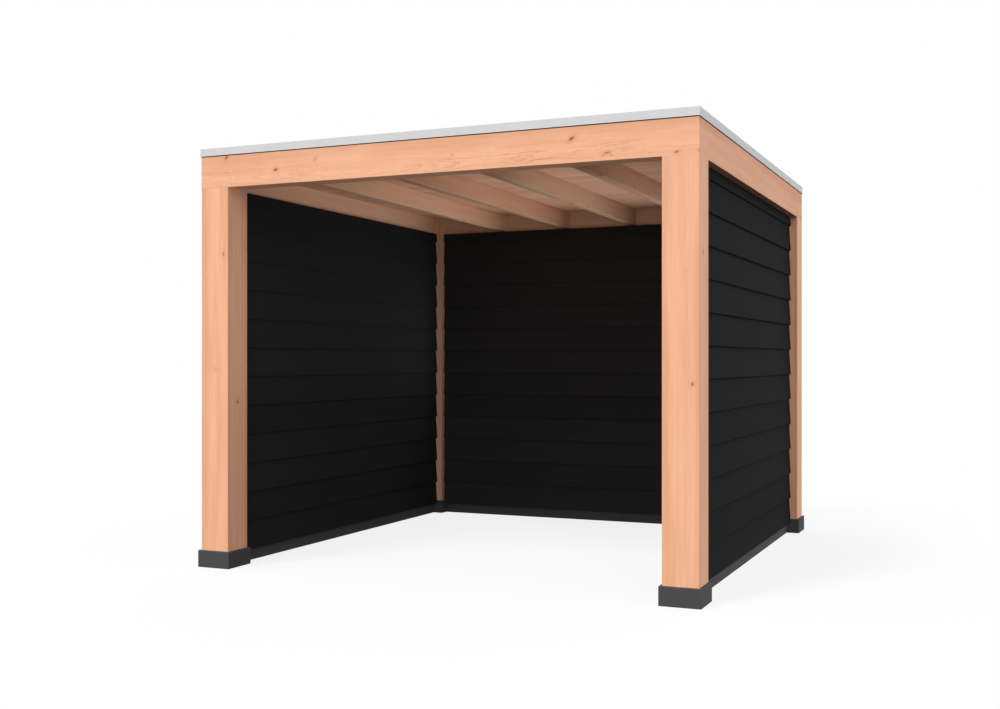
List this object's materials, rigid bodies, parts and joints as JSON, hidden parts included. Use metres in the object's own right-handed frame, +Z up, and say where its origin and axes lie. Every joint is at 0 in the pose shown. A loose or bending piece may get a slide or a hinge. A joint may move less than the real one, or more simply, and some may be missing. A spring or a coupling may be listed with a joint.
{
  "type": "garden canopy",
  "caption": "Flat-roofed timber garden canopy: square posts on block feet, mitred ring beams, rafters, lapped black board walls on three sides and an open front.",
  "frame": {"origin": "on the ground, at the middle of the plan", "axes": "+Z up, the open front faces -Y, +X to the right as seen from the front"},
  "size_m": [3.03, 3.03, 2.473],
  "materials": {
    "timber": "planed, unfinished softwood",
    "roof_boards": "planed, unfinished softwood",
    "stud_timber": "sawn softwood",
    "black_boards": "black stain, matt, rough sawn",
    "foot_concrete": "anthracite concrete, smooth cast",
    "trim_metal": "pale grey powder coat, satin",
    "membrane": "matt sheet"
  },
  "bodies": {
    "root": {"foot_front_left": "foot_concrete", "foot_front_right": "foot_concrete", "foot_back_left": "foot_concrete", "foot_back_right": "foot_concrete", "post_front_left": "timber", "post_front_right": "timber", "post_back_left": "timber", "post_back_right": "timber", "beam_front": "timber", "beam_right": "timber", "beam_back": "timber", "beam_left": "timber", "rafter_1": "timber", "rafter_2": "timber", "rafter_3": "timber", "rafter_4": "timber", "roof_deck": "roof_boards", "roof_membrane": "membrane", "trim_front": "trim_metal", "trim_right": "trim_metal", "trim_back": "trim_metal", "trim_left": "trim_metal", "plinth_right": "foot_concrete", "plinth_back": "foot_concrete", "plinth_left": "foot_concrete", "wall_frame_right": "stud_timber", "wall_frame_back": "stud_timber", "wall_frame_left": "stud_timber", "cladding_outer_right": "black_boards", "cladding_outer_back": "black_boards", "cladding_outer_left": "black_boards", "cladding_inner_right": "black_boards", "cladding_inner_back": "black_boards", "cladding_inner_left": "black_boards"}
  },
  "joints": []
}
